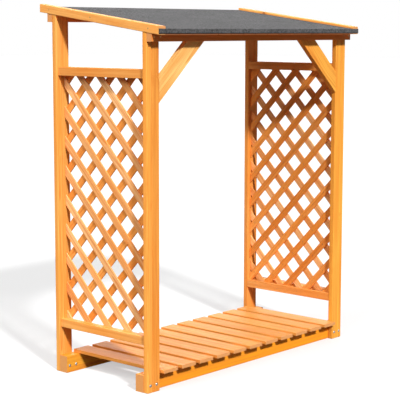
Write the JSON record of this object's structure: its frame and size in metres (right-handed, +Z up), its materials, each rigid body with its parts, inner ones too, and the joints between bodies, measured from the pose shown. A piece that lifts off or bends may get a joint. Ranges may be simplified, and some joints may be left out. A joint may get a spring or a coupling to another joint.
{
  "type": "open firewood log store",
  "caption": "Open log store in stained softwood: lattice side panels, slatted floor and a felted lean-to roof, for keeping split firewood dry.",
  "frame": {"origin": "on the ground, under the middle of the roof", "axes": "+X to the right along the open front, +Y from the front to the back, +Z up"},
  "size_m": [1.656, 0.856, 1.9418],
  "materials": {
    "frame_timber": "honey-stained planed softwood",
    "slats": "honey-stained planed softwood",
    "laths": "honey-stained sawn laths",
    "roof_boards": "stained softwood boards",
    "mineral_felt": "mineral-surfaced roofing felt"
  },
  "bodies": {
    "root": {"back_beam": "frame_timber", "back_bearer": "frame_timber", "back_left_post_inner": "frame_timber", "back_left_post_outer": "frame_timber", "back_right_post_inner": "frame_timber", "back_right_post_outer": "frame_timber", "floor_slat_01": "slats", "floor_slat_02": "slats", "floor_slat_03": "slats", "floor_slat_04": "slats", "floor_slat_05": "slats", "floor_slat_06": "slats", "floor_slat_07": "slats", "floor_slat_08": "slats", "floor_slat_09": "slats", "floor_slat_10": "slats", "floor_slat_11": "slats", "front_beam": "frame_timber", "front_bearer": "frame_timber", "front_left_post_inner": "frame_timber", "front_left_post_outer": "frame_timber", "front_right_post_inner": "frame_timber", "front_right_post_outer": "frame_timber", "left_bottom_inner_rail": "frame_timber", "left_bottom_rail": "frame_timber", "left_brace": "frame_timber", "left_lattice": "laths", "left_top_inner_rail": "frame_timber", "left_top_rail": "frame_timber", "left_verge": "frame_timber", "right_bottom_inner_rail": "frame_timber", "right_bottom_rail": "frame_timber", "right_brace": "frame_timber", "right_lattice": "laths", "right_top_inner_rail": "frame_timber", "right_top_rail": "frame_timber", "right_verge": "frame_timber", "roof_deck_1": "roof_boards", "roof_deck_2": "roof_boards", "roof_deck_3": "roof_boards", "roof_deck_4": "roof_boards", "roof_felt": "mineral_felt"}
  },
  "joints": []
}
